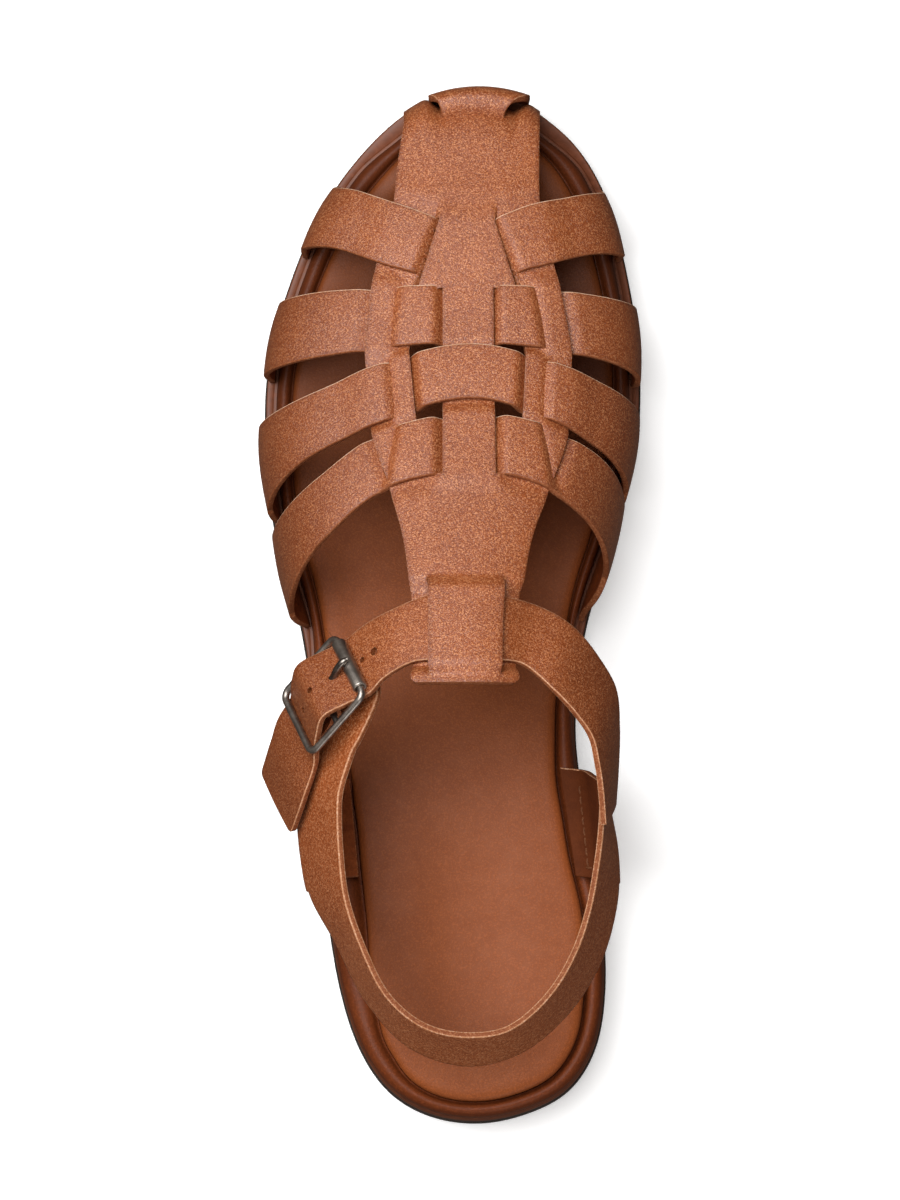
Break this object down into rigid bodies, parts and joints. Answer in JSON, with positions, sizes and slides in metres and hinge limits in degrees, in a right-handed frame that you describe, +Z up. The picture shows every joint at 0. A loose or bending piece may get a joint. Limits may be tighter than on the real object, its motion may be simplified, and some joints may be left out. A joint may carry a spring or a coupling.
{
  "type": "walking sandal",
  "caption": "Left-foot leather walking sandal with a closed woven toe, ankle strap with roller buckle, heel strap and layered sole.",
  "frame": {"origin": "on the floor under the middle of the shoe's length and width", "axes": "+Y towards the toe, +Z up, +X towards the medial side of the left foot"},
  "size_m": [0.1039, 0.28, 0.0904],
  "materials": {
    "outsole_rubber": "matt, moulded",
    "midsole_leather": "burnished edge",
    "footbed_leather": "smooth, waxed",
    "insole_leather": "smooth, padded",
    "upper_leather": "waxed, mottled",
    "ankle_strap_leather": "waxed, mottled",
    "heel_strap_leather": "waxed, mottled",
    "chape_leather": "waxed",
    "buckle_steel": "dark satin plating",
    "roller_steel": "dark satin plating",
    "pin_steel": "dark satin plating"
  },
  "bodies": {
    "root": {"outsole": "outsole_rubber", "midsole": "midsole_leather", "footbed": "footbed_leather", "insole": "insole_leather", "upper": "upper_leather", "ankle_strap": "ankle_strap_leather", "heel_strap": "heel_strap_leather", "chape": "chape_leather", "buckle_frame": "buckle_steel", "buckle_roller": "roller_steel", "buckle_pin": "pin_steel"}
  },
  "joints": []
}
